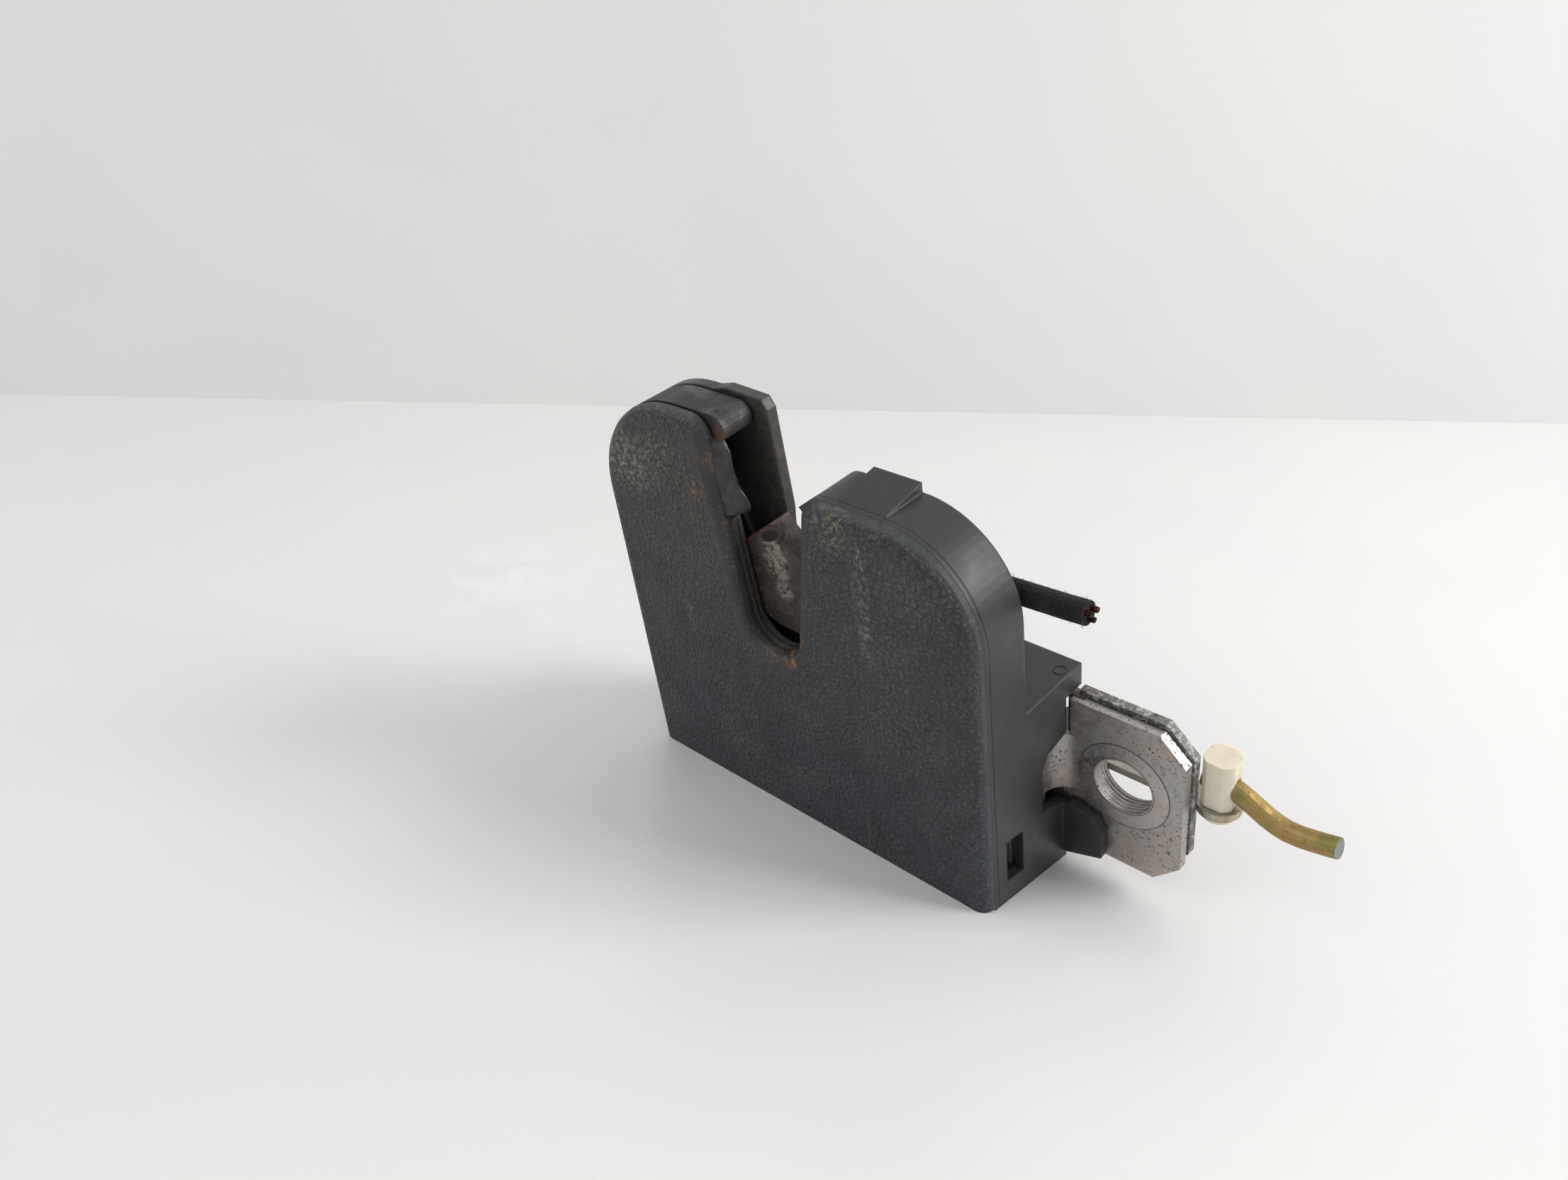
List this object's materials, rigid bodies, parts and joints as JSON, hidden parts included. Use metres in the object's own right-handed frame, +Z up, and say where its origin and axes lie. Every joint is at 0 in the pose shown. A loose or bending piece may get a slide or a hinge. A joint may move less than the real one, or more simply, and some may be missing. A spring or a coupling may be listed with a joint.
{
  "type": "boot lid lock",
  "caption": "Boot lid lock: black moulded case with a U-shaped mouth, rotating claw, pawl, sliding release bar with a cut pull rod, and a plated fixing tab with a round hole.",
  "frame": {"origin": "middle of the base face, under the housing", "axes": "+Z up from the base the lock rests on, +X along the front face towards the fixing tab, +Y from the front cover towards the back of the block"},
  "size_m": [0.1311, 0.0509, 0.0848],
  "materials": {
    "grained_black": "leather-grained moulding",
    "smooth_black": "smooth moulding, dusty",
    "buffer_rubber": "smooth, worn",
    "zinc_plate": "zinc plated, speckled",
    "corroded_zinc": "zinc plated, white corrosion",
    "claw_coating": "worn plastic coating over rusty steel",
    "bare_steel": "plain steel",
    "spring_steel": "drawn wire",
    "cream_nylon": "moulded, slightly translucent",
    "yellow_zinc": "yellow chromate over zinc",
    "fleece_tape": "fuzzy fleece tape",
    "copper_wire": "cut copper strands"
  },
  "bodies": {
    "housing": {"front_cover": "grained_black", "mouth_liner": "smooth_black", "rear_housing": "smooth_black", "rear_cover": "smooth_black", "horn_buffer": "buffer_rubber", "frame_plate": "zinc_plate", "tab_doubler": "zinc_plate", "backing_plate": "corroded_zinc", "claw_pin": "bare_steel", "claw_spring": "spring_steel", "claw_stop": "buffer_rubber", "pawl_pin": "bare_steel", "pawl_spring": "spring_steel", "bar_guides": "smooth_black", "bar_spring": "spring_steel", "switch_body": "smooth_black", "switch_terminals": "spring_steel", "loom": "fleece_tape", "loom_wires": "copper_wire", "cover_screws": "bare_steel"},
    "claw": {"claw": "claw_coating"},
    "pawl": {"pawl": "bare_steel"},
    "bar": {"release_bar": "zinc_plate"},
    "rod": {"rod_clip": "cream_nylon", "pull_rod": "yellow_zinc"},
    "plunger": {"switch_plunger": "cream_nylon"}
  },
  "joints": [
    {"name": "claw_turn", "type": "hinge", "parent": "housing", "child": "claw", "pos_m": [0.019, -0.01783, 0.04743], "axis": [0, -0.9781, -0.2079], "range_deg": [0, 50], "stiffness_Nm_per_rad": 0.05, "springref_deg": -17.19},
    {"name": "bar_slide", "type": "slide", "parent": "housing", "child": "bar", "axis": [1, 0, 0], "range_m": [0, 0.005], "stiffness_N_per_m": 400, "springref_m": -0.002, "deforming": ["bar_spring"]},
    {"name": "pawl_turn", "type": "hinge", "parent": "housing", "child": "pawl", "pos_m": [0.0265, -0.01367, 0.02787], "axis": [0, -0.9781, -0.2079], "range_deg": [0, 26.3]},
    {"name": "rod_swivel", "type": "hinge", "parent": "bar", "child": "rod", "pos_m": [0.0677, 0.01332, 0.02644], "axis": [0, -0.2079, 0.9781], "range_deg": [-30, 30]},
    {"name": "plunger_slide", "type": "slide", "parent": "housing", "child": "plunger", "axis": [0, 0.9781, 0.2079], "range_m": [0, 0.00102]}
  ],
  "couplings": [
    {"joint": "pawl_turn", "follows": "bar_slide", "rad_per_m": 90.8},
    {"joint": "plunger_slide", "follows": "claw_turn", "m_per_rad": 0.001146}
  ]
}
